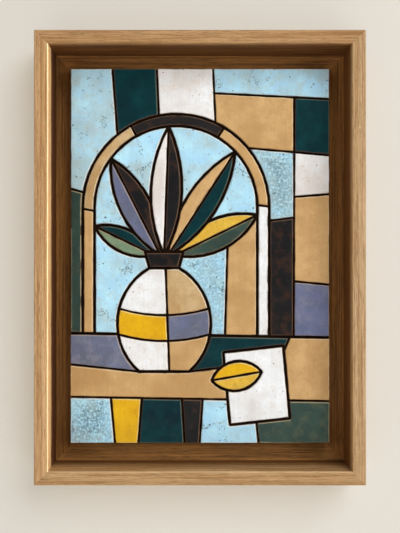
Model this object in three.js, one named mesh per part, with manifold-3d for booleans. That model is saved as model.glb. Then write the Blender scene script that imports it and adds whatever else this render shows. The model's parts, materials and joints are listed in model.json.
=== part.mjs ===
// Framed ceramic mosaic panel: hand-cut glazed tiles on a carrier board, inside a deep
// oak box frame. Millimetres. It is laid out as seen from the front (u right, v up, d out
// from the wall), and the last group stands it up: +X right, +Z up, front facing -Y.
import * as THREE from "three";
import { mergeVertices } from "three/addons/utils/BufferGeometryUtils.js";
import Module from "manifold-3d";

const wasm = await Module();
wasm.setup();

// ---- driving dimensions ----
const FRAME = { width: 430, height: 590, depth: 65, wall: 18, ledge: 40, ledgeThick: 10, arris: 1 };
const PICTURE = { width: 349, height: 505, raise: 3 };
const BOARD = { thick: 7, inset: 1.5 };
const MORTAR = { base: 2, recess: 2.6, inset: 0.6 };
const TILE = { thick: 6.1, chamferRun: 1.2, chamferDrop: 1 };
const JOINT = { bold: 3.7, fine: 2.7 };    // widths: round a figure, and elsewhere
const GAP = 0.3;

// how finely the solids are made
const ARC_SAG = 0.22;     // most that a chord may leave its arc
const BLUNT = 0.8;        // length of a joint's pointed end
const OVERRUN = 4;        // how far lines run past the picture's edge
const WELD = 1e-4;
const PROBE = 1;          // side of the post that finds a tile

// distances from the wall
const BOARD_BACK = FRAME.ledgeThick + GAP;
const MORTAR_BACK = BOARD_BACK + BOARD.thick + GAP;
const TILE_BACK = MORTAR_BACK + MORTAR.base + GAP;
const TILE_FRONT = TILE_BACK + TILE.thick;
const MOUNT_BELOW_TOP = (FRAME.wall + FRAME.ledge) / 2;

// ---- the picture: a jug of leaves under an arch, on a table ----
const W = PICTURE.width;
const H = PICTURE.height;
// Pairs give a line's two ends, left before right and top before foot.
const ARCH = {
  u: 142, v: 318, radius: 110, band: 16, cutAngles: [59, 119],
  springsLeft: [-2, -5], springsRight: [3, 1],
};
const WALL = {
  dado: [344, 334], lintelFrom: 194, lintel: [472, 464], posts: [[56, 66], [116, 122], [192, 198]],
};
const COLUMN = {
  width: 33, top: 466, shelfInset: 30, shelf: [398, 388], innerBreak: [300, 304],
  outerBreaks: [[332, 336], [218, 213]],
};
const PILLAR = { top: 280, lean: [212, 206] };
const TABLE = { back: 148, front: 62, fall: 6, edge: [106, 102], cloth: 4 };
const APRON = { cuts: [[54, 60], [96, 91], [150, 154], [178, 174]], underCloth: [250, 254] };
const JUG = {
  u: 126, foot: 96, shoulder: 236, mouth: 258, footHalf: 34, neckHalf: 20, mouthHalf: 26,
  swell: 36, bandLow: 152, bandHigh: 186, bandSag: 9, seam: [2, 7],
};
const LEAF = { swell: 21, fullLength: 120, depth: 5 };
const LEAVES = [
  { name: "leaf_low_left", shift: -13, angle: 154, upper: "sage", lower: "teal" },
  { name: "leaf_low_right", shift: 14, angle: 26, upper: "mustard", lower: "sage" },
  { name: "leaf_high_left", shift: -5, angle: 117, upper: "slate", lower: "black" },
  { name: "leaf_high_right", shift: 5, angle: 57, upper: "ochre", lower: "teal" },
  { name: "leaf_middle", shift: 0, angle: 88, upper: "white", lower: "black" },
];
const CLOTH = { left: 206, right: 296, top: 122, bottom: 24, skew: 9 };
const LEMON = { u: 190, v: 84, length: 68, rise: 12, swell: 20 };
const DEGREES = Math.PI / 180;

const GLAZES = {
  pale_blue: { color: 0xa3c6d4, roughness: 0.35 },
  ochre: { color: 0xc69e6a, roughness: 0.55 },
  white: { color: 0xe4dfd9, roughness: 0.4 },
  teal: { color: 0x0c3034, roughness: 0.3 },
  black: { color: 0x2a2726, roughness: 0.45 },
  slate: { color: 0x6e718a, roughness: 0.5 },
  sage: { color: 0x415248, roughness: 0.45 },
  yellow: { color: 0xe2ad1f, roughness: 0.35 },
  mustard: { color: 0xcea542, roughness: 0.4 },
  cream: { color: 0xc4aa80, roughness: 0.45 },
};
const OAK = new THREE.MeshStandardMaterial({ color: 0xb78f66, roughness: 0.6 });
const BOARD_MATERIAL = new THREE.MeshStandardMaterial({ color: 0x5c4630, roughness: 0.85 });
const MORTAR_MATERIAL = new THREE.MeshStandardMaterial({ color: 0x2d1e14, roughness: 0.95 });

// ---- solids ----
function solid(geometry) {
  geometry.deleteAttribute("normal");
  geometry.deleteAttribute("uv");
  const merged = mergeVertices(geometry, WELD);
  const mesh = new wasm.Mesh({
    numProp: 3,
    vertProperties: new Float32Array(merged.attributes.position.array),
    triVerts: new Uint32Array(merged.index.array),
  });
  return new wasm.Manifold(mesh);
}

function geometryOf(body) {
  const mesh = body.getMesh();
  const geometry = new THREE.BufferGeometry();
  geometry.setAttribute("position", new THREE.BufferAttribute(mesh.vertProperties, 3));
  geometry.setIndex(new THREE.BufferAttribute(mesh.triVerts, 1));
  return geometry;
}

function prism(outline, from, to) {
  const options = { depth: to - from, bevelEnabled: false };
  return solid(new THREE.ExtrudeGeometry(new THREE.Shape(outline), options).translate(0, 0, from));
}

// A prism that stands on the level `top - drop` and has widened by `run` at the level `top`.
// Its flare runs on past that level, so it leaves a chamfer and no step.
function flaredPrism(outline, top, run, drop) {
  const past = 1.3;
  const options = {
    depth: FRAME.ledgeThick, bevelEnabled: true, bevelSegments: 1,
    bevelThickness: drop * past, bevelSize: run * past,
  };
  const shape = new THREE.Shape(outline);
  const geometry = new THREE.ExtrudeGeometry(shape, options);
  return solid(geometry.translate(0, 0, top - drop + drop * past));
}

function box(width, height, from, to) {
  const geometry = new THREE.BoxGeometry(width, height, to - from);
  return geometry.translate(0, 0, (from + to) / 2);
}

// ---- lines of the drawing ----
const at = (u, v) => new THREE.Vector2(u, v);

function arcPoints(centre, radius, from, to, clockwise) {
  const curve = new THREE.ArcCurve(centre.x, centre.y, radius, from, to, clockwise);
  const step = 2 * radius * Math.acos(1 - ARC_SAG / radius);
  return curve.getPoints(Math.ceil(curve.getLength() / step));
}

// circular arc from a to b that swells out to the left of the way there
function bow(a, b, swell) {
  const along = b.clone().sub(a);
  const radius = (along.lengthSq() / 4 + swell * swell) / (2 * swell);
  const left = at(-along.y, along.x).normalize();
  const centre = a.clone().add(b).multiplyScalar(0.5).addScaledVector(left, swell - radius);
  const from = a.clone().sub(centre).angle();
  const to = b.clone().sub(centre).angle();
  return arcPoints(centre, radius, from, to, true);
}

// outline of a joint of the given half width along a path, with blunt pointed ends
function band(path, halfWidth) {
  const last = path.length - 1;
  const sides = path.map((point, i) => {
    const before = path[Math.max(i - 1, 0)];
    const after = path[Math.min(i + 1, last)];
    const along = after.clone().sub(before).normalize();
    return at(-along.y, along.x).multiplyScalar(halfWidth);
  });
  const beyond = (point, side, way) => point.clone().add(at(side.y, -side.x).multiplyScalar(way * BLUNT));
  return [
    ...path.map((point, i) => point.clone().add(sides[i])),
    beyond(path[last], sides[last], 1),
    ...path.map((point, i) => point.clone().sub(sides[i])).reverse(),
    beyond(path[0], sides[0], -1),
  ];
}

// The drawing is made from the back forwards: a figure covers the joints behind it.
const strokes = [];
const tiles = [];

function joint(...path) {
  strokes.push({ sides: [path], width: JOINT.fine });
}

function figure(...sides) {
  strokes.push({ cover: sides.flatMap((side) => side.slice(0, -1)), sides, width: JOINT.bold });
}

// names the tile that has the point (u, v) inside it
function tile(name, glaze, u, v) {
  tiles.push({ name: `tile_${name}`, glaze, u, v });
}

function drawBorder() {
  const out = JOINT.fine / 2;
  const corners = [at(-out, -out), at(W + out, -out), at(W + out, H + out), at(-out, H + out)];
  corners.forEach((corner, i) => joint(corner, corners[(i + 1) % corners.length]));
}

function drawWall() {
  const springing = ARCH.v + ARCH.radius / 2;
  const inner = ARCH.u + ARCH.radius + ARCH.band;
  const outer = inner + COLUMN.width;
  joint(at(-OVERRUN, WALL.dado[0]), at(ARCH.u - ARCH.radius, WALL.dado[1]));
  for (const [top, foot] of WALL.posts) {
    joint(at(top, H + OVERRUN), at(foot, springing));
  }
  joint(at(WALL.lintelFrom, WALL.lintel[0]), at(W + OVERRUN, WALL.lintel[1]));
  joint(at(outer + 1, COLUMN.top), at(outer, TABLE.back - TABLE.fall));
  joint(at(inner - COLUMN.shelfInset, COLUMN.shelf[0]), at(W + OVERRUN, COLUMN.shelf[1]));
  joint(at(inner, COLUMN.innerBreak[0]), at(outer, COLUMN.innerBreak[1]));
  for (const [left, right] of COLUMN.outerBreaks) {
    joint(at(outer, left), at(W + OVERRUN, right));
  }

  const innerMiddle = (inner + outer) / 2;
  const outerMiddle = (outer + W) / 2;
  tile("wall_left_low", "sage", 8, 200);
  tile("wall_left_high", "pale_blue", 24, 440);
  tile("wall_above_left", "teal", 90, 470);
  tile("wall_above_middle", "white", 156, 480);
  tile("wall_top_right", "pale_blue", 270, 490);
  tile("wall_above_right", "ochre", 270, 430);
  tile("column_inner_high", "pale_blue", innerMiddle, 350);
  tile("column_inner_low", "black", innerMiddle, 220);
  tile("column_outer_top", "teal", outerMiddle, 430);
  tile("column_outer_high", "white", outerMiddle, 362);
  tile("column_outer_middle", "ochre", outerMiddle, 274);
  tile("column_outer_low", "slate", outerMiddle, 180);
}

function drawArch() {
  const { u, v, radius, band: width, cutAngles, springsLeft, springsRight } = ARCH;
  const outer = radius + width;
  const niche = (r) => figure(
    [at(u - r, TABLE.front), at(u - r, v)],
    arcPoints(at(u, v), r, Math.PI, 0, true),
    [at(u + r, v), at(u + r, TABLE.front)],
    [at(u + r, TABLE.front), at(u - r, TABLE.front)]);
  niche(outer);
  niche(radius);
  const onRing = (r, angle) => at(u + r * Math.cos(angle), v + r * Math.sin(angle));
  for (const angle of cutAngles) {
    joint(onRing(radius, angle * DEGREES), onRing(outer, angle * DEGREES));
  }
  joint(at(u - outer, v + springsLeft[0]), at(u - radius, v + springsLeft[1]));
  joint(at(u + radius, v + springsRight[0]), at(u + outer, v + springsRight[1]));
  joint(at(PILLAR.lean[0], PILLAR.top), at(PILLAR.lean[1], TABLE.front));

  const middle = radius + width / 2;
  const ringLeft = onRing(middle, 150 * DEGREES);
  const ringRight = onRing(middle, 30 * DEGREES);
  tile("arch_jamb_left", "ochre", u - middle, 220);
  tile("arch_ring_left", "cream", ringLeft.x, ringLeft.y);
  tile("arch_ring_top", "black", u, v + middle);
  tile("arch_ring_right", "ochre", ringRight.x, ringRight.y);
  tile("arch_jamb_right", "white", u + middle, 220);
  tile("sky_left_low", "pale_blue", 56, 200);
  tile("sky_right_inner", "pale_blue", 192, 220);
  tile("sky_right_outer", "ochre", 234, 200);
}

function drawTable() {
  const level = (u, v) => v - TABLE.fall * (u + OVERRUN) / (W + 2 * OVERRUN);
  const line = (v) => [at(-OVERRUN, v), at(W + OVERRUN, v - TABLE.fall)];
  const [backLeft, backRight] = line(TABLE.back);
  const [frontLeft, frontRight] = line(TABLE.front);
  const bottomRight = at(W + OVERRUN, -OVERRUN);
  const bottomLeft = at(-OVERRUN, -OVERRUN);
  figure([backLeft, backRight], [backRight, bottomRight], [bottomRight, bottomLeft], [bottomLeft, backLeft]);
  joint(frontLeft, frontRight);
  joint(at(-OVERRUN, TABLE.edge[0]), at(JUG.u - JUG.footHalf, JUG.foot));
  joint(at(JUG.u + JUG.footHalf, JUG.foot), at(CLOTH.left + TABLE.cloth, TABLE.edge[1]));
  joint(at(CLOTH.right - CLOTH.skew, CLOTH.top), at(CLOTH.right, level(CLOTH.right, TABLE.back)));
  for (const [top, foot] of APRON.cuts) {
    joint(at(top, level(top, TABLE.front)), at(foot, -OVERRUN));
  }
  joint(at(APRON.underCloth[0], CLOTH.bottom + CLOTH.skew), at(APRON.underCloth[1], -OVERRUN));

  tile("table_back_left", "slate", 30, 128);
  tile("table_front_left", "ochre", 50, 80);
  tile("table_back_right", "teal", 232, 134);
  tile("table_end", "ochre", 326, 100);
  tile("apron_1", "pale_blue", 26, 30);
  tile("apron_2", "yellow", 76, 30);
  tile("apron_3", "teal", 122, 30);
  tile("apron_4", "black", 166, 30);
  tile("apron_5", "pale_blue", 196, 24);
  tile("apron_6", "sage", 326, 45);
}

// distance from a leaf's root to the arch's inner edge, along the leaf
function reach(root, way) {
  const offset = root.clone().sub(at(ARCH.u, ARCH.v));
  const across = offset.dot(way);
  const toRing = Math.sqrt(across * across - offset.lengthSq() + ARCH.radius ** 2) - across;
  const toJamb = (Math.sign(way.x) * ARCH.radius - offset.x) / way.x;
  return root.y + toRing * way.y > ARCH.v ? toRing : toJamb;
}

function drawLeaf({ name, shift, angle, upper, lower }) {
  const way = at(Math.cos(angle * DEGREES), Math.sin(angle * DEGREES));
  const root = at(JUG.u + shift, JUG.mouth - LEAF.depth);
  const tip = root.clone().addScaledVector(way, reach(root, way));
  const swell = LEAF.swell * Math.min(1, root.distanceTo(tip) / LEAF.fullLength);
  figure(bow(root, tip, swell), bow(tip, root, swell));
  joint(root, tip);
  const towardsTip = 0.6;
  const middle = root.clone().lerp(tip, towardsTip);
  tile(`${name}_upper`, upper, middle.x - way.y * swell / 2, middle.y + way.x * swell / 2);
  tile(`${name}_lower`, lower, middle.x + way.y * swell / 2, middle.y - way.x * swell / 2);
}

function drawLeaves() {
  LEAVES.forEach(drawLeaf);
  tile("sky_left_high", "pale_blue", 50, 330);
  tile("sky_above_left", "pale_blue", 96, 400);
  tile("sky_above_right", "pale_blue", 164, 400);
  tile("sky_right_high", "pale_blue", 224, 340);
}

function drawJug() {
  const { u, foot, shoulder, mouth, footHalf, neckHalf, mouthHalf, swell, seam } = JUG;
  const { bandLow, bandHigh, bandSag } = JUG;
  figure(
    [at(u - neckHalf, shoulder), at(u - mouthHalf, mouth)],
    [at(u - mouthHalf, mouth), at(u + mouthHalf, mouth)],
    [at(u + mouthHalf, mouth), at(u + neckHalf, shoulder)],
    [at(u + neckHalf, shoulder), at(u - neckHalf, shoulder)]);
  const left = bow(at(u - footHalf, foot), at(u - neckHalf, shoulder), swell);
  const right = bow(at(u + neckHalf, shoulder), at(u + footHalf, foot), swell);
  figure(
    left,
    [at(u - neckHalf, shoulder), at(u + neckHalf, shoulder)],
    right,
    [at(u + footHalf, foot), at(u - footHalf, foot)]);
  joint(at(u + seam[1], foot), at(u + seam[0], shoulder));
  const edge = (side, v) => side.reduce((a, b) => (Math.abs(b.y - v) < Math.abs(a.y - v) ? b : a));
  for (const v of [bandLow, bandHigh]) {
    joint(...bow(edge(right, v), edge(left, v), bandSag));
  }

  const bandMiddle = (bandLow + bandHigh) / 2 - bandSag;
  tile("jug_neck", "black", u, (shoulder + mouth) / 2);
  tile("jug_shoulder_left", "white", u - neckHalf, (bandHigh + shoulder) / 2);
  tile("jug_shoulder_right", "cream", u + neckHalf, (bandHigh + shoulder) / 2);
  tile("jug_band_left", "yellow", u - neckHalf, bandMiddle);
  tile("jug_band_right", "slate", u + neckHalf, bandMiddle);
  tile("jug_foot_left", "white", u - neckHalf, (foot + bandLow - bandSag) / 2);
  tile("jug_foot_right", "ochre", u + neckHalf, (foot + bandLow - bandSag) / 2);
}

function drawClothAndLemon() {
  const { left, right, top, bottom, skew } = CLOTH;
  const corners = [
    at(left, top), at(right - skew, top + skew), at(right, bottom + skew), at(left + skew, bottom)];
  figure(...corners.map((corner, i) => [corner, corners[(i + 1) % corners.length]]));
  const near = at(LEMON.u, LEMON.v);
  const far = at(LEMON.u + LEMON.length, LEMON.v + LEMON.rise);
  figure(bow(near, far, LEMON.swell), bow(far, near, LEMON.swell));
  joint(near, far);
  const middle = near.clone().lerp(far, 0.5);
  tile("cloth", "white", right - 3 * skew, bottom + 3 * skew);
  tile("lemon_upper", "yellow", middle.x, middle.y + LEMON.swell / 2);
  tile("lemon_lower", "mustard", middle.x, middle.y - LEMON.swell / 2);
}

// ---- pieces ----
// joins the joints of the drawing, each narrowed by `gap` at both sides and then made
// the solid that `cut` makes of its outline
function drawnSolid(gap, cut) {
  let body;
  for (const { cover, sides, width } of strokes) {
    if (cover && body) body = body.subtract(prism(cover, 0, FRAME.depth));
    for (const side of sides) {
      const next = cut(band(side, width / 2 - gap));
      body = body ? body.add(next) : next;
    }
  }
  return body;
}

function mortarBed() {
  const { inset, base, recess } = MORTAR;
  const webs = drawnSolid(GAP, (outline) => prism(outline, MORTAR_BACK, TILE_FRONT - recess));
  const area = (from, to) => {
    const slab = box(W - 2 * inset, H - 2 * inset, from, to);
    return solid(slab.translate(W / 2, H / 2, 0));
  };
  const bed = area(MORTAR_BACK, MORTAR_BACK + base).add(webs.intersect(area(MORTAR_BACK, TILE_FRONT)));
  return new THREE.Mesh(geometryOf(bed), MORTAR_MATERIAL);
}

function tileMeshes() {
  const slab = solid(box(W, H, TILE_BACK, TILE_FRONT).translate(W / 2, H / 2, 0));
  const through = drawnSolid(0, (outline) => prism(outline, TILE_BACK - 1, TILE_FRONT + 1));
  const chamfers = drawnSolid(0,
    (outline) => flaredPrism(outline, TILE_FRONT, TILE.chamferRun, TILE.chamferDrop));
  const pieces = slab.subtract(through).subtract(chamfers).decompose();
  const materials = Object.fromEntries(Object.entries(GLAZES).map(
    ([name, look]) => [name, new THREE.MeshStandardMaterial(look)]));
  return tiles.map(({ name, glaze, u, v }) => {
    const probe = solid(box(PROBE, PROBE, TILE_BACK, TILE_FRONT).translate(u, v, 0));
    const found = pieces.findIndex((body) => !body.intersect(probe).isEmpty());
    if (found < 0) throw new Error(`no clay is left for ${name}`);
    const [piece] = pieces.splice(found, 1);
    const mesh = new THREE.Mesh(geometryOf(piece), materials[glaze]);
    mesh.name = name;
    return mesh;
  });
}

// A rail lies along u, its outer edge at v = 0, with both ends mitred at 45 degrees.
function rail(name, length) {
  const { wall, ledge, ledgeThick, depth, arris } = FRAME;
  const section = new THREE.Shape([
    at(0, 0), at(wall + ledge, 0), at(wall + ledge, ledgeThick), at(wall, ledgeThick),
    at(wall, depth - arris), at(wall - arris, depth), at(arris, depth), at(0, depth - arris)]);
  const geometry = new THREE.ExtrudeGeometry(section, { depth: 1, bevelEnabled: false });
  const position = geometry.attributes.position;
  const mitreGap = GAP / Math.SQRT2;
  for (let i = 0; i < position.count; i++) {
    const inward = position.getX(i);
    const outFromWall = position.getY(i);
    const end = 1 - 2 * position.getZ(i);
    position.setXYZ(i, end * (length / 2 - inward - mitreGap), -inward, outFromWall);
  }
  const mesh = new THREE.Mesh(geometry, OAK);
  mesh.name = name;
  return mesh;
}

function frameRails() {
  const rails = [
    { name: "rail_top", length: FRAME.width, across: FRAME.height, turn: 0 },
    { name: "rail_left", length: FRAME.height, across: FRAME.width, turn: 1 },
    { name: "rail_bottom", length: FRAME.width, across: FRAME.height, turn: 2 },
    { name: "rail_right", length: FRAME.height, across: FRAME.width, turn: 3 },
  ];
  return rails.map(({ name, length, across, turn }) => {
    const mesh = rail(name, length);
    const angle = turn * Math.PI / 2;
    mesh.rotation.z = angle;
    mesh.position.set(-Math.sin(angle) * across / 2, Math.cos(angle) * across / 2, 0);
    return mesh;
  });
}

function picture() {
  drawBorder();
  drawWall();
  drawArch();
  drawTable();
  drawLeaves();
  drawJug();
  drawClothAndLemon();
  const bed = mortarBed();
  bed.name = "mortar_bed";
  const group = new THREE.Group();
  group.add(bed, ...tileMeshes());
  group.position.set(-W / 2, -H / 2 + PICTURE.raise, 0);
  return group;
}

function carrierBoard() {
  const { thick, inset } = BOARD;
  const geometry = box(W - 2 * inset, H - 2 * inset, BOARD_BACK, BOARD_BACK + thick);
  const mesh = new THREE.Mesh(geometry, BOARD_MATERIAL);
  mesh.name = "carrier_board";
  mesh.position.y = PICTURE.raise;
  return mesh;
}

const centred = new THREE.Group();
centred.add(...frameRails(), carrierBoard(), picture());
centred.position.y = MOUNT_BELOW_TOP - FRAME.height / 2;

const panel = new THREE.Group();
panel.add(centred);
panel.rotation.x = Math.PI / 2;

export default panel;
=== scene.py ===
"""Looks of a framed ceramic mosaic panel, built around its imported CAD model.

Metres. The front faces -Y, +X is to the right and +Z is up. The board and the mortar bed are
the CAD nodes with finishes. Each oak rail and each glazed tile starts as a copy of its CAD node
and replaces it: a rail gets rounded edges, and a tile rounded edges and an uneven face.
"""
import json
import math

import bmesh
import bpy
import numpy as np
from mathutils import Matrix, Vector


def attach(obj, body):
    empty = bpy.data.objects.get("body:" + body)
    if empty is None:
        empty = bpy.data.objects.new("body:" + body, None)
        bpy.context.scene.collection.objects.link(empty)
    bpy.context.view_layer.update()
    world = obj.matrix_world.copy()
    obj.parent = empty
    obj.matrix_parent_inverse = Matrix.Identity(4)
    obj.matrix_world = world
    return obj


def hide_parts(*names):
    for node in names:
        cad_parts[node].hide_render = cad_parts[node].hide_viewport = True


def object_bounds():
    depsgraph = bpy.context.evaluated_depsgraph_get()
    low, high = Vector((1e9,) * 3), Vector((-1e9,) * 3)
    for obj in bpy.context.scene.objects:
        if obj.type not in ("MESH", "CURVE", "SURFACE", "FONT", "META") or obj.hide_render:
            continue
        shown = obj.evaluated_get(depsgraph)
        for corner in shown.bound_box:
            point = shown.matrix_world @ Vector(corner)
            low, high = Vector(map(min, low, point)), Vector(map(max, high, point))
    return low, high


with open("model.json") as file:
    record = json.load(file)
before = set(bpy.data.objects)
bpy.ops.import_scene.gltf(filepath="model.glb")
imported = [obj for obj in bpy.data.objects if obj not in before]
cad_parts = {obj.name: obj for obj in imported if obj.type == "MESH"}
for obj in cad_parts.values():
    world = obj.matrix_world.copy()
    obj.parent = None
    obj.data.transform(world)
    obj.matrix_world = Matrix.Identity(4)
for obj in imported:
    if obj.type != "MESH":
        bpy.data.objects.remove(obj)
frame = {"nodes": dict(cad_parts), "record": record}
cad_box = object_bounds()

# ---- sizes ----
MM = 0.001
WALL = 18 * MM             # width of a rail's front face
LEDGE_FRONT = -10 * MM     # y of the ledge behind the tiles
MITRE_SHIFT = 0.19 * MM    # each mitre face moves this far along its rail, to close the gap
RAIL_ROUNDING = 0.4 * MM
TILE_FACE = 39 * MM        # depth of the tiles' faces behind the front
TILE_ROUNDING = 0.45 * MM
FACE_INSET = 0.5 * MM      # keeps the rounding's own row of faces narrow
MOST_TILT = 0.2            # degrees that a tile may lean, about either axis
UNEVENNESS = 1 * MM        # between the highest and the lowest places
WAVE = 16 * MM             # size of that unevenness
TILE_GRID = 2.5 * MM    # size of the faces that make a tile uneven
SAME_PLACE = 0.01 * MM     # corners nearer than this are one
SAME_PLANE = math.radians(0.5)       # faces that meet at less than this are one
TILE_ARRIS = math.radians(25)        # edges of a tile that are sharper than this are rounded
RAIL_SOFT_EDGE = math.radians(35)    # edges of a rail that are blunter than this look smooth

low, high = (Vector(corner) for corner in cad_box)
MIDDLE = (low + high) / 2
FRONT = low.y
HALF_OPENING = Vector((high.x - WALL - MIDDLE.x, 0, high.z - WALL - MIDDLE.z))


# ---- shader maths ----
class Field:
    """One output of a material's nodes. Arithmetic on it adds Math nodes."""

    def __init__(self, paint, socket):
        self.paint = paint
        self.socket = socket

    def math(self, operation, *values):
        return self.paint.node("Math", {"operation": operation}, dict(enumerate(values)))

    def __add__(self, other):
        return self.math("ADD", self, other)

    def __sub__(self, other):
        return self.math("SUBTRACT", self, other)

    def __rsub__(self, other):
        return self.math("SUBTRACT", other, self)

    def __mul__(self, other):
        return self.math("MULTIPLY", self, other)

    def __abs__(self):
        return self.math("ABSOLUTE", self)

    __radd__ = __add__
    __rmul__ = __mul__

    def most(self, other):
        return self.math("MAXIMUM", self, other)

    def step(self, start, end):
        """Rises smoothly from 0 at start to 1 at end; falls where start is above end."""
        inputs = {"Value": self, "From Min": min(start, end), "From Max": max(start, end)}
        rise = self.paint.node("MapRange", {"interpolation_type": "SMOOTHSTEP"}, inputs)
        return rise if start < end else 1 - rise


def tint(code):
    """Linear colour of an sRGB hex code."""
    channels = [int(code[i:i + 2], 16) / 255 for i in (0, 2, 4)]
    linear = [c / 12.92 if c <= 0.04045 else ((c + 0.055) / 1.055) ** 2.4 for c in channels]
    return (*linear, 1)


class Paint:
    """A material under construction."""

    def __init__(self, name, **plain):
        self.material = bpy.data.materials.new(name)
        self.material.use_nodes = True
        self.tree = self.material.node_tree
        self.shader = self.tree.nodes["Principled BSDF"]
        for socket, value in plain.items():
            self.shader.inputs[socket.replace("_", " ")].default_value = value
        self.place = self.node("TexCoord", output="Object")

    def node(self, kind, settings=None, inputs=None, output=0):
        made = self.tree.nodes.new("ShaderNode" + kind)
        for key, value in (settings or {}).items():
            setattr(made, key, value)
        for key, value in (inputs or {}).items():
            if isinstance(value, Field):
                self.tree.links.new(value.socket, made.inputs[key])
            else:
                made.inputs[key].default_value = value
        return Field(self, made.outputs[output])

    def axes(self, vector=None):
        """The X, Y and Z of a vector, the object's own coordinates by default."""
        split = self.node("SeparateXYZ", inputs={0: vector or self.place})
        return [Field(self, split.socket.node.outputs[i]) for i in range(3)]

    def stretched(self, sizes, shift=0):
        """Coordinates in units of the given size along each axis."""
        inputs = {"Vector": self.place, "Scale": [1 / size for size in sizes],
                  "Location": [shift] * 3}
        return self.node("Mapping", inputs=inputs)

    def noise(self, size, detail=2, roughness=0.5, shift=0, distortion=0):
        sizes = size if isinstance(size, tuple) else (size,) * 3
        inputs = {"Vector": self.stretched(sizes, shift), "Scale": 1, "Detail": detail,
                  "Roughness": roughness, "Distortion": distortion}
        return self.node("TexNoise", inputs=inputs)

    def cells(self, size, output="Distance"):
        inputs = {"Vector": self.stretched((size,) * 3), "Scale": 1}
        return self.node("TexVoronoi", inputs=inputs, output=output)

    def painted_on(self, name):
        """A number that each point of the piece carries."""
        return self.node("Attribute", {"attribute_name": name}, output="Fac")

    def mix(self, amount, first, second, blend="MIX"):
        settings = {"data_type": "RGBA", "blend_type": blend}
        return self.node("Mix", settings, {0: amount, 6: first, 7: second}, 2)

    def shade(self, colour, factor):
        """A colour made lighter or darker by a factor."""
        grey = self.node("CombineColor", inputs={0: factor, 1: factor, 2: factor})
        return self.mix(1, colour, grey, "MULTIPLY")

    def cast(self, colour, tone):
        """A colour whose red, green and blue are multiplied."""
        return self.mix(1, colour, (*tone, 1), "MULTIPLY")

    def finish(self, colour, roughness, height):
        """Feeds the shader; height is in metres."""
        bump = self.node("Bump", inputs={"Strength": 1, "Distance": 1, "Height": height})
        fed = {"Base Color": colour, "Roughness": roughness, "Normal": bump}
        for socket, field in fed.items():
            self.tree.links.new(field.socket, self.shader.inputs[socket])
        return self.material


# ---- oak ----
OAK_PLAIN = "a37c4d"
OAK_PALE = "b48f63"
OAK_RING = "84582d"
OAK_PORE = "6b4420"
OAK_FLECK = "c9a778"
# paler oak for the arrises near the front: wear, and a painted highlight where the lamps strike
# them
OAK_WORN_HIGHLIGHT = "ecd3a4"
# the stain's browns; where the brown lies and how dark it is also stand for painted shade in the
# recess
STAIN_BROWN = "764a1d"
STAIN_RING = "4f2f10"
STAIN_PORE = "331c08"

# along is the grain's axis. tone is the natural oak's cast, partly each board's own and partly
# painted light, lighter on the rails that the lamps light less. The two depths in mm are those
# between which the brown comes in, as a stain and also as painted shade, nearer the front on the
# walls in shade. The wall and ledge tones are the brown's casts, lighter or darker on each side
# as painted light and shade. The worn values are how pale the inner and outer arrises are: wear,
# and a painted highlight where the lamps strike them.
RAILS = {
    "rail_top": dict(
        along="X", tone=(1.08, 1.085, 1.13), stain_and_shade_depths=(-6, 12), wear_and_highlight_outside=0.15, wear_and_highlight_inside=0,
        wall_tone_and_shade=(0.78, 0.73, 0.6), ledge_tone_and_shade=(2.02, 2.25, 2.9)),
    "rail_right": dict(
        along="Z", tone=(1.19, 1.3, 1.54), stain_and_shade_depths=(0, 20), wear_and_highlight_outside=0.3, wear_and_highlight_inside=0,
        wall_tone_and_shade=(0.86, 0.74, 0.41), ledge_tone_and_shade=(1.74, 1.8, 1.82)),
    "rail_bottom": dict(
        along="X", tone=(1.055, 1.09, 1.15), stain_and_shade_depths=(15, 50), wear_and_highlight_outside=0.05, wear_and_highlight_inside=0.3,
        wall_tone_and_shade=(0.78, 0.72, 0.55), ledge_tone_and_shade=(2, 2.34, 3.1)),
    "rail_left": dict(
        along="Z", tone=(1.23, 1.24, 1.3), stain_and_shade_depths=(19, 23), wear_and_highlight_outside=0, wear_and_highlight_inside=0.4,
        wall_tone_and_shade=(0.5, 0.4, 0.25), ledge_tone_and_shade=(1.44, 1.56, 1.56)),
}


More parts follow.
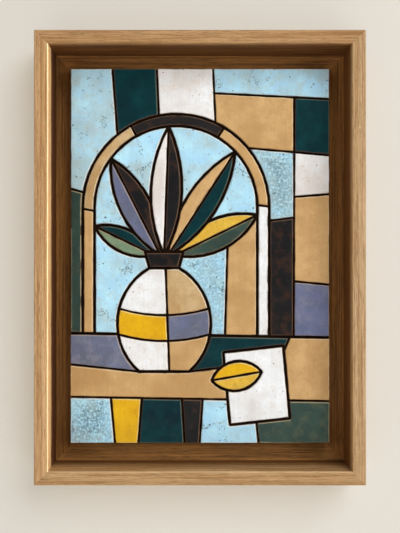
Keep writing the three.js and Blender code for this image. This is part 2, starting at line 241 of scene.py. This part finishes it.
def oak(name, shift, along, tone, stain_and_shade_depths, wall_tone_and_shade, ledge_tone_and_shade, wear_and_highlight_outside, wear_and_highlight_inside):
    """Oak with its grain along one axis and paler arrises, worn and with a painted highlight
    where the lamps strike them.

    The inside is left natural near the front and brown behind, a stain and also painted shade,
    for it comes in nearer the front on the walls in shade. The tones are the colour casts of the
    natural oak, of the brown inner wall and of the brown ledge; they differ from rail to rail as
    painted light and shade.
    """
    paint = Paint(name, Specular_IOR_Level=0.25)

    def grain(length, width, **options):
        sizes = tuple(length if axis == along else width for axis in "XYZ")
        return paint.noise(sizes, shift=shift, **options)

    boards = grain(380 * MM, 8 * MM, detail=3)
    rings = grain(170 * MM, 2.4 * MM, detail=4, roughness=0.65, distortion=0.4)
    figure = grain(100 * MM, 4.5 * MM, detail=2, distortion=0.9).step(0.5, 0.62)
    fibres = grain(36 * MM, 1.3 * MM, detail=3, roughness=0.6)
    pores = grain(14 * MM, 0.6 * MM, detail=1).step(0.58, 0.68)
    flecks = grain(5 * MM, 1.2 * MM, detail=0).step(0.68, 0.78)
    colour = paint.mix(boards.step(0.3, 0.7), tint(OAK_PLAIN), tint(OAK_PALE))
    colour = paint.mix(rings.step(0.45, 0.65) * 0.6, colour, tint(OAK_RING))
    colour = paint.mix(figure * 0.4, colour, tint(OAK_RING))
    colour = paint.mix(pores * 0.55, colour, tint(OAK_PORE))
    colour = paint.mix(flecks * 0.3, colour, tint(OAK_FLECK))
    colour = paint.shade(colour, fibres * 0.6 + 0.72)

    # how far a point is outside the opening, behind the front and behind the ledge's face
    x, y, z = paint.axes()
    outside = (abs(x - MIDDLE.x) - HALF_OPENING.x).most(abs(z - MIDDLE.z) - HALF_OPENING.z)
    front = y - FRONT
    behind_ledge = y - LEDGE_FRONT
    # the natural oak's cast on the front and outside: each board's own, and painted light too,
    # lighter on the rails that the lamps light less
    colour = paint.mix(outside.step(0.2 * MM, 1.2 * MM), colour, paint.cast(colour, tone))
    near_front = front.step(2.2 * MM, 1 * MM)
    # the arrises near the front turn paler: wear, and a painted highlight, strongest on the
    # arrises the lamps strike and none on those in shade
    worn_and_lit_in = abs(outside).step(1.6 * MM, 0.6 * MM) * near_front
    worn_and_lit_out = outside.step(WALL - 1.6 * MM, WALL - 0.6 * MM) * near_front
    colour = paint.mix(worn_and_lit_in * wear_and_highlight_inside + worn_and_lit_out * wear_and_highlight_outside, colour, tint(OAK_WORN_HIGHLIGHT))

    # the brown: a stain, and painted shade too, coming in nearer the front on the walls in shade
    # and more slowly where light reaches deeper
    start, end = (depth * MM for depth in stain_and_shade_depths)
    ragged = (grain(30 * MM, 4 * MM) - 0.5) * 7 * MM
    inside = outside.step(1.8 * MM, 0.8 * MM) * behind_ledge.step(4 * MM, 2 * MM)
    stained_and_shaded = inside * (front + ragged).step(start, end)
    on_ledge = behind_ledge.step(-3 * MM, -0.5 * MM)
    brown = paint.mix(rings.step(0.35, 0.7), tint(STAIN_BROWN), tint(STAIN_RING))
    brown = paint.mix(pores * 0.5, brown, tint(STAIN_PORE))
    brown = paint.shade(brown, fibres * 0.8 + 0.6)
    # the inner walls' and the ledge's casts: lighter or darker on each side as painted light and
    # shade
    brown = paint.mix(on_ledge, paint.cast(brown, wall_tone_and_shade), paint.cast(brown, ledge_tone_and_shade))
    colour = paint.mix(stained_and_shaded, colour, brown)
    roughness = 0.48 + rings * 0.12 + stained_and_shaded * 0.12
    height = fibres * 0.06 * MM - pores * 0.14 * MM + rings * 0.05 * MM
    return paint.finish(colour, roughness, height)


# ---- board and mortar ----
BOARD_DARK = "4c3826"
BOARD_PALE = "6d5338"
MORTAR_DARK = "120a05"
MORTAR_PALE = "1e120a"
MORTAR_GRIT = "32200f"


def board_face():
    paint = Paint("carrier_board_face", Specular_IOR_Level=0.2)
    chips = paint.noise((5 * MM, 5 * MM, 2 * MM), detail=4, roughness=0.7)
    colour = paint.mix(chips.step(0.3, 0.7), tint(BOARD_DARK), tint(BOARD_PALE))
    return paint.finish(colour, 0.8 + chips * 0.1, chips * 0.1 * MM)


def mortar():
    paint = Paint("dark_mortar", Specular_IOR_Level=0.05)
    grains = paint.noise(1.1 * MM, detail=3, roughness=0.7)
    patches = paint.noise(24 * MM)
    colour = paint.mix(patches.step(0.4, 0.7), tint(MORTAR_DARK), tint(MORTAR_PALE))
    colour = paint.mix(grains.step(0.6, 0.75) * 0.5, colour, tint(MORTAR_GRIT))
    return paint.finish(colour, 0.85 + grains * 0.1, grains * 0.4 * MM)


# ---- glazes ----
# Colours: body, light and cloud drift into each other; edge is a painted highlight on the arrises
# that face the upper right, clay is bare and shows more on that side, where it also stands for
# light, pit is in pinholes, and smudge, as strong as smudged, lies in scuffed patches. pits is
# how many pinholes there are, spread how far two tiles of a glaze differ, and pale the colour of
# the tiles named in PALE_TILES.
GLAZES = {
    "glaze_pale_blue": dict(
        body="aad9f2", light="bfecf9", cloud="a3bdc4", edge="e6f1f2", clay="c3a27a", pit="4f5c63",
        smudge="b1b7ae", smudged=0.35, pits=1.3, gloss=0.35, mottles=True, crawls=True),
    "glaze_ochre": dict(
        body="c59c65", light="d9b079", cloud="b38954", edge="ecd0a2", clay="9a6b3c", pit="8a6336",
        smudge="b98a50", smudged=0.3, pits=0.6, gloss=0.5),
    "glaze_white": dict(
        body="eaeaea", light="f6f8fa", cloud="d4cac2", edge="fdfbf8", clay="d3b594", pit="8f7c6e",
        smudge="dccbbb", smudged=0.35, pits=1.15, gloss=0.4),
    "glaze_teal": dict(
        body="022b30", light="043a3e", cloud="031f29", edge="47645c", clay="6b5236", pit="031418",
        smudge="0d4a4a", smudged=0.2, pits=0.25, gloss=0.35, shine=0.2),
    "glaze_black": dict(
        body="141214", light="1b1b1b", cloud="0e0e11", edge="5c4a3c", clay="7c5334", pit="100e0e",
        smudge="4c2e1b", smudged=0.38, pits=0.4, gloss=0.42, shine=0.25),
    "glaze_slate": dict(
        body="626888", light="727897", cloud="5b5e69", edge="a8a0a2", clay="a98662", pit="45444f",
        smudge="83818f", smudged=0.5, pits=0.4, gloss=0.45, spread=0.08),
    "glaze_sage": dict(
        body="293f38", light="354d44", cloud="20322e", edge="a29c7c", clay="b39670", pit="202a26",
        smudge="55583f", smudged=0.45, pits=0.7, gloss=0.42, spread=0.2, pale="7f9a78"),
    "glaze_yellow": dict(
        body="dea905", light="eabb0f", cloud="d09602", edge="f6dc8c", clay="a9741f", pit="946812",
        smudge="c98f10", smudged=0.4, pits=0.5, gloss=0.35),
    "glaze_mustard": dict(
        body="dcaa34", light="ebc44d", cloud="b18523", edge="f0d898", clay="8f672f", pit="6e511d",
        smudge="a98330", smudged=0.5, pits=1, gloss=0.4),
    "glaze_cream": dict(
        body="c09c6a", light="d6ba8f", cloud="ab834f", edge="f0e2c4", clay="97724a", pit="7f6340",
        smudge="a58253", smudged=0.4, pits=0.6, gloss=0.42),
}
RUST = "6f4325"            # at the foot of the tiles' arrises
MORTAR_STAIN = "1a0f07"    # on the tiles' sides
MOTTLED_TILES = {"tile_apron_1", "tile_sky_right_inner", "tile_column_inner_high"}
MOTTLE_DARK = "5a7c89"
PALE_TILES = {"tile_leaf_low_left_upper"}
PALE_MARK = 2                            # the tone such a tile carries; others have -1 to 1
UPPER_RIGHT = np.array([0.8, 0, 0.6])    # the side facing the lamps, whose arrises get a painted highlight


def pinholes(paint, pits):
    """The pits and their haloes, in swarms. Each cell holds one pit of its own size, or none."""
    swarm = paint.noise(26 * MM, shift=11).step(0.42, 0.6)
    spot = paint.cells(4.5 * MM)
    chance = paint.axes(paint.cells(4.5 * MM, output="Color"))[0]
    size = (chance - (1 - 0.5 * pits)) * 0.5 * (0.35 + swarm * 0.65)
    return (size - spot).step(0, 0.05), (size * 2 - spot).step(0, 0.15)


def mottled(paint, colour, rim, light):
    """Dark and light blotches on the marked tiles, darker towards a tile's middle."""
    marked = paint.painted_on("mottled")
    blotches = paint.noise(3.2 * MM, detail=3, roughness=0.65, shift=23)
    middle = rim.step(3, 22) * 0.6 + 0.4
    dark = marked * blotches.step(0.36, 0.6) * middle
    colour = paint.mix(dark * 0.85, colour, tint(MOTTLE_DARK))
    return paint.mix(marked * blotches.step(0.46, 0.34) * 0.6, colour, tint(light))


def crawl_lines(paint):
    """Where the glaze drew back in short crooked lines."""
    vein = abs(paint.noise(17 * MM, detail=3, roughness=0.7, shift=17) - 0.5)
    patch = paint.noise(21 * MM, shift=19).step(0.57, 0.64)
    return vein.step(0.014, 0.006) * patch


def glaze(name, body, light, cloud, edge, clay, pit, smudge, smudged, pits, gloss,
          shine=0.4, spread=0.03, mottles=False, crawls=False, pale=None):
    """Studio glaze: softly clouded and pitted, clouded over the tile's arrises, with a painted
    highlight on those that face the upper right.
    """
    paint = Paint(name, Specular_IOR_Level=shine)
    rim = paint.painted_on("rim")            # mm from the tile's outline
    tone = paint.painted_on("tone")          # the tile's own shade
    # the next value is 1 where the surface faces the upper right, towards the lamps, where the
    # arrises get a painted highlight
    faces_light = paint.painted_on("faces_light")    # 1 where the surface faces the upper right

    drift = paint.noise(52 * MM, detail=2)
    clouds = paint.noise(24 * MM, detail=3, roughness=0.55, shift=3)
    mist = paint.noise(6 * MM, detail=3, roughness=0.6, shift=7)
    speckle = paint.noise(2.3 * MM, detail=2, roughness=0.7)
    strokes = paint.noise((3 * MM, 3 * MM, 45 * MM), detail=2, shift=13)
    scuffs = paint.noise(15 * MM, detail=4, roughness=0.68, shift=31)
    colour = paint.mix(clouds.step(0.3, 0.75) * 0.8, tint(body), tint(light))
    colour = paint.mix((drift + tone * 0.08).step(0.38, 0.75) * 0.8, colour, tint(cloud))
    colour = paint.mix(mist.step(0.5, 0.8) * 0.35, colour, tint(cloud))
    colour = paint.mix((scuffs + tone * 0.04).step(0.5, 0.68) * smudged, colour, tint(smudge))
    colour = paint.shade(colour, 0.8 + strokes * 0.14 + speckle * 0.26 + tone * spread)
    if pale:
        colour = paint.mix(tone.step(1.2, 1.8) * 0.85, colour, tint(pale))

    pitted, halo = pinholes(paint, pits)
    colour = paint.mix(halo * 0.2, colour, tint(light))
    if mottles:
        colour = mottled(paint, colour, rim, light)
    if crawls:
        drawn_back = crawl_lines(paint)
        colour = paint.mix(drawn_back * 0.75, colour, tint(pit))
        pitted = pitted.most(drawn_back * 0.8)

    # the arrises: a clouded line all round, a painted highlight at the upper right, and some bare
    # clay, more of it on that side
    rimmed = (rim + (mist - 0.5) * 1.2).step(2, 1.3)
    painted_highlight = rimmed * (faces_light + (mist - 0.5) * 0.5).step(-0.15, 0.35)
    bare = (rim + (mist - 0.5) * 1.4 + (clouds - 0.5) * 1.5).step(0.6, 0.2)
    # bare clay shows more on the arrises that face the upper right, where it also stands for
    # light falling on them
    bare *= faces_light.step(-0.4, 0.4) * 0.6 + 0.4
    colour = paint.mix(rimmed * 0.3, colour, tint(cloud))
    colour = paint.mix(painted_highlight * 0.8, colour, tint(edge))
    colour = paint.mix(bare * 0.7, colour, tint(clay))
    colour = paint.mix(pitted * 0.8, colour, tint(pit))
    below_face = paint.axes()[1] - (FRONT + TILE_FACE) + (clouds - 0.5) * 0.6 * MM
    colour = paint.mix(below_face.step(0.3 * MM, 0.9 * MM) * 0.6, colour, tint(RUST))
    colour = paint.mix(below_face.step(0.9 * MM, 1.7 * MM) * 0.9, colour, tint(MORTAR_STAIN))

    roughness = gloss + (mist - 0.5) * 0.15 + pitted * 0.3 + bare * 0.2
    height = (mist * 0.1 + speckle * 0.025 - pitted * 0.35) * MM
    return paint.finish(colour, roughness, height)


# ---- modelling ----
def only(piece):
    bpy.ops.object.select_all(action="DESELECT")
    piece.select_set(True)
    bpy.context.view_layer.objects.active = piece


def modify(piece, kind, **settings):
    """Adds a modifier and applies it."""
    only(piece)
    modifier = piece.modifiers.new(kind.title(), kind)
    for key, value in settings.items():
        setattr(modifier, key, value)
    bpy.ops.object.modifier_apply(modifier=modifier.name)


def unevenness():
    """The soft waves of hand-cut clay."""
    texture = bpy.data.textures.new("hand_cut", "CLOUDS")
    texture.noise_scale = WAVE
    texture.noise_depth = 2
    return texture


def edit(piece):
    only(piece)
    bpy.ops.object.mode_set(mode="EDIT")


def select_faces(piece, wanted):
    """Leaves edit mode's selection on the faces that the test wants."""
    bpy.ops.mesh.select_all(action="DESELECT")
    form = bmesh.from_edit_mesh(piece.data)
    for face in form.faces:
        face.select_set(bool(wanted(face)))
    bmesh.update_edit_mesh(piece.data)


def is_front(face):
    return face.normal.y < -0.999


def is_back(face):
    return face.normal.y > 0.999


def copied(node, name):
    """A copy of a CAD node as one connected skin of plain faces."""
    only(frame["nodes"][node])
    bpy.ops.object.duplicate()
    piece = bpy.context.object
    piece.name = name
    edit(piece)
    bpy.ops.mesh.select_all(action="SELECT")
    bpy.ops.mesh.remove_doubles(threshold=SAME_PLACE)
    bpy.ops.mesh.dissolve_limited(angle_limit=SAME_PLANE)
    bpy.ops.object.mode_set(mode="OBJECT")
    return piece


def outline_of(piece):
    """The straight edges round the tile's back, as pairs of (x, z) ends."""
    form = bmesh.new()
    form.from_mesh(piece.data)
    edges = [edge for edge in form.edges if sum(is_back(face) for face in edge.link_faces) == 1]
    ends = np.array([[(v.co.x, v.co.z) for v in edge.verts] for edge in edges])
    form.free()
    return ends


def distance_to(ends, points):
    """Distance from each point to the nearest of the edges."""
    start = ends[None, :, 0]
    way = ends[None, :, 1] - start
    from_start = points[:, None] - start
    share = (from_start * way).sum(2) / (way ** 2).sum(2)
    nearest = start + way * np.clip(share, 0, 1)[..., None]
    return np.sqrt(((points[:, None] - nearest) ** 2).sum(2)).min(1)


def add_value(piece, name, values):
    """Gives each point of the piece a number that its glaze reads."""
    attribute = piece.data.attributes.new(name, "FLOAT", "POINT")
    attribute.data.foreach_set("value", values.astype(np.float32))


def each_point(source, name):
    """The X, Y and Z of every item of a mesh's list, one row each."""
    flat = np.empty(len(source) * 3, np.float32)
    source.foreach_get(name, flat)
    return flat.reshape(-1, 3)


def stands_for(piece, node, finish):
    """Paints a piece and lets it ride and show in the place of its CAD node."""
    piece.data.materials.clear()
    piece.data.materials.append(finish)
    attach(piece, "root")
    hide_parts(node)


def cut_to_grid(piece, ends):
    """Cuts the front and sides into small faces that can be made uneven."""
    select_faces(piece, is_back)
    bpy.ops.mesh.hide(unselected=False)
    for axis, place in ((0, 0), (2, 1)):
        first, last = ends[..., place].min(), ends[..., place].max()
        direction = [float(axis == side) for side in range(3)]
        for step in range(math.ceil(first / TILE_GRID), math.floor(last / TILE_GRID) + 1):
            bpy.ops.mesh.select_all(action="SELECT")
            bpy.ops.mesh.bisect(plane_co=[way * step * TILE_GRID for way in direction],
                                plane_no=direction, threshold=0.02 * MM)
    bpy.ops.mesh.reveal(select=False)


def glazed_tile(node, slot, dice):
    """A hand-cut tile: rounded arrises, a slightly uneven and tilted face, wavy edges."""
    piece = copied(node, "glazed_" + node)
    ends = outline_of(piece)
    centre = Vector((ends[..., 0].mean(), FRONT + TILE_FACE, ends[..., 1].mean()))
    modify(piece, "BEVEL", width=TILE_ROUNDING, segments=2, limit_method="ANGLE",
           angle_limit=TILE_ARRIS)
    edit(piece)
    select_faces(piece, is_front)
    bpy.ops.mesh.inset(thickness=FACE_INSET)
    cut_to_grid(piece, ends)
    select_faces(piece, is_front)
    for axis in "XZ":
        bpy.ops.transform.rotate(value=math.radians(dice.uniform(-MOST_TILT, MOST_TILT)),
                                 orient_axis=axis, center_override=centre)
    bpy.ops.object.mode_set(mode="OBJECT")
    modify(piece, "DISPLACE", texture=HAND_CUT, strength=UNEVENNESS, mid_level=0.5,
           texture_coords="LOCAL")
    places = each_point(piece.data.vertices, "co")
    facing = each_point(piece.data.vertex_normals, "vector")
    tone = dice.uniform(-1, 1)
    if node in PALE_TILES:
        tone = PALE_MARK
    add_value(piece, "rim", distance_to(ends, places[:, (0, 2)]) / MM)
    add_value(piece, "tone", np.full(len(places), tone))
    add_value(piece, "mottled", np.full(len(places), float(node in MOTTLED_TILES)))
    add_value(piece, "faces_light", facing @ UPPER_RIGHT)
    only(piece)
    bpy.ops.object.shade_smooth()
    stands_for(piece, node, FINISHES[slot])


def set_finish(node, finish):
    materials = frame["nodes"][node].data.materials
    materials.clear()
    materials.append(finish)


def fitted_rail(node, along, finish):
    """A rail with rounded long edges, its mitres pushed up against its neighbours'."""
    piece = copied(node, "oak_" + node)
    axis = "XYZ".index(along)
    edit(piece)
    for end in (-1, 1):
        select_faces(piece, lambda face: 0.5 < end * face.normal[axis] < 0.9)
        push = [0, 0, 0]
        push[axis] = end * MITRE_SHIFT
        bpy.ops.transform.translate(value=push)
    bpy.ops.mesh.select_all(action="DESELECT")
    bpy.ops.mesh.select_mode(type="EDGE")
    form = bmesh.from_edit_mesh(piece.data)
    for edge in form.edges:
        way = edge.verts[1].co - edge.verts[0].co
        edge.select_set(abs(way[axis]) > 0.99 * way.length)
    bmesh.update_edit_mesh(piece.data)
    bpy.ops.mesh.bevel(offset=RAIL_ROUNDING, segments=3)
    bpy.ops.mesh.select_mode(type="FACE")
    bpy.ops.object.mode_set(mode="OBJECT")
    only(piece)
    bpy.ops.object.shade_smooth_by_angle(angle=RAIL_SOFT_EDGE)
    stands_for(piece, node, finish)


HAND_CUT = unevenness()
FINISHES = {slot: glaze(slot, **look) for slot, look in GLAZES.items()}

slots = {entry["node"]: entry["material_slot"] for entry in frame["record"]["subparts"]}
dice = np.random.default_rng(7)    # the same throws each time
for node in sorted(slots):
    if node.startswith("tile_"):
        glazed_tile(node, slots[node], dice)
for shift, (node, look) in enumerate(RAILS.items()):
    fitted_rail(node, look["along"], oak("oak_" + node, 5 * shift, **look))
set_finish("carrier_board", board_face())
set_finish("mortar_bed", mortar())


# ---- room, light and camera ----
WALL_GAP = 2 * MM            # between the panel's back and the wall
WALL_SIZE = 8
WALL_MIDDLE = 1              # z of the wall's middle
FLOOR_DROP = 1.6             # from the panel's middle down to the floor
FLOOR_SIZE = 12
AIR = "fbfcff"
AIR_STRENGTH = 0.2
BACKDROP = "e4e0da"
WARM = (1, 0.99, 0.975)
COOL = (0.96, 0.985, 1)
BLUISH = (0.93, 1, 1.06)

# the paint's colour, and the colour and strength of the little light that it gives
PAINTS = {
    "wall_paint": ("c3c2c1", "ccc1ac", 0.5),
    "floor_paint": ("d9d4cc", "ddd8d0", 0.2),
}

# direction from the panel's middle, distance, sides, share and colour; share is what the lamp
# adds to a white surface that faces it
LAMPS = {
    "window_right": ((0.8, -0.57, 0.15), 4.5, (1.95, 1.95), 0.385, WARM),
    "window_above": ((0.32, -0.57, 0.76), 3, (1.3, 1.3), 0.43, WARM),
    "fill_left": ((-0.8, -0.57, 0.1), 3, (2, 2), 0.35, COOL),
    "fill_below": ((0, -0.6, -0.8), 1.5, (1, 1), 0.145, COOL),
    "raking_right": ((1, -0.046, 0.06), 2.7, (0.3, 0.2), 2.55, BLUISH),
    "wall_wash": ((0.6, -1, 0.75), 4, (2.8, 2.8), 0.7, WARM),
    "light_behind": ((-0.5, 0.8, 0.4), 3, (2, 2), 0.5, COOL),
}
# the wall has a lamp of its own, so that the frame casts one soft shadow on it
KEPT_OFF = {
    "window_right": ["room_wall"],
    "window_above": ["room_wall"],
    "fill_left": ["room_wall"],
    "fill_below": ["room_wall"],
    "raking_right": ["room_wall", "oak_rail_right"],
}
KEPT_TO = {"wall_wash": ["room_wall"]}

EYE_DISTANCE = 900 * MM      # from the panel's front
EYE_DROP = 11.5 * MM         # below the panel's middle
SEEN_HEIGHT = 689.4 * MM     # of the view, in the plane of the panel's front
SENSOR = 36                  # mm


def matt_paint(name):
    """One of the room's paints."""
    code, glow, strength = PAINTS[name]
    return Paint(name, Roughness=0.9, Specular_IOR_Level=0.1, Base_Color=tint(code),
                 Emission_Color=tint(glow), Emission_Strength=strength)


def room():
    """A pale wall just behind the panel, seen from its front side alone, and a floor."""
    bpy.ops.mesh.primitive_plane_add(size=WALL_SIZE, location=(0, WALL_GAP, WALL_MIDDLE),
                                     rotation=(math.pi / 2, 0, 0))
    wall = bpy.context.object
    wall.name = "room_wall"
    paint = matt_paint("wall_paint")
    backs = paint.node("NewGeometry", output="Backfacing")
    clear = paint.node("BsdfTransparent")
    painted = Field(paint, paint.shader.outputs[0])
    both = paint.node("MixShader", inputs={0: backs, 1: painted, 2: clear})
    paint.tree.links.new(both.socket, paint.tree.nodes["Material Output"].inputs["Surface"])
    wall.data.materials.append(paint.material)
    wall.visible_shadow = False
    wall.visible_diffuse = False
    wall.visible_glossy = False
    bpy.ops.mesh.primitive_plane_add(size=FLOOR_SIZE, location=(0, 0, MIDDLE.z - FLOOR_DROP))
    floor = bpy.context.object
    floor.name = "room_floor"
    floor.data.materials.append(matt_paint("floor_paint").material)


def lamp(name, direction, distance, sides, share, colour):
    """An area lamp that faces the panel."""
    place = MIDDLE + Vector(direction).normalized() * distance
    bpy.ops.object.light_add(type="AREA", location=place)
    light = bpy.context.object
    light.name = name
    light.data.shape = "RECTANGLE"
    light.data.size, light.data.size_y = sides
    light.data.energy = share * (math.pi * distance) ** 2
    light.data.color = colour
    light.rotation_euler = (place - MIDDLE).to_track_quat("Z", "Y").to_euler()
    light.visible_camera = False


def aim(name, state, pieces):
    """Keeps a lamp's light off some objects (EXCLUDE), or to them alone (INCLUDE)."""
    aimed = bpy.data.collections.new("aim_of_" + name)
    for piece in pieces:
        aimed.objects.link(bpy.data.objects[piece])
    for member in aimed.collection_objects:
        member.light_linking.link_state = state
    bpy.data.objects[name].light_linking.receiver_collection = aimed


def air():
    """An even pale light from all round, with a plain backdrop where the camera sees it."""
    world = bpy.data.worlds.new("room_air")
    world.use_nodes = True
    tree = world.node_tree
    around = tree.nodes["Background"]
    around.inputs["Color"].default_value = tint(AIR)
    around.inputs["Strength"].default_value = AIR_STRENGTH
    backdrop = tree.nodes.new("ShaderNodeBackground")
    backdrop.inputs["Color"].default_value = tint(BACKDROP)
    seen = tree.nodes.new("ShaderNodeLightPath")
    both = tree.nodes.new("ShaderNodeMixShader")
    tree.links.new(seen.outputs["Is Camera Ray"], both.inputs[0])
    tree.links.new(around.outputs[0], both.inputs[1])
    tree.links.new(backdrop.outputs[0], both.inputs[2])
    tree.links.new(both.outputs[0], tree.nodes["World Output"].inputs["Surface"])
    bpy.context.scene.world = world


def lighting():
    air()
    for name, setting in LAMPS.items():
        lamp(name, *setting)
    for name, pieces in KEPT_OFF.items():
        aim(name, "EXCLUDE", pieces)
    for name, pieces in KEPT_TO.items():
        aim(name, "INCLUDE", pieces)


def camera():
    """Square to the wall, a little below the panel's middle."""
    bpy.ops.object.camera_add(
        location=(MIDDLE.x, FRONT - EYE_DISTANCE, MIDDLE.z - EYE_DROP),
        rotation=(math.pi / 2, 0, 0))
    view = bpy.context.object
    view.name = "front_camera"
    view.data.sensor_width = SENSOR
    view.data.lens = SENSOR * EYE_DISTANCE / SEEN_HEIGHT
    bpy.context.scene.camera = view


room()
lighting()
camera()
bpy.context.scene.view_settings.view_transform = "Standard"
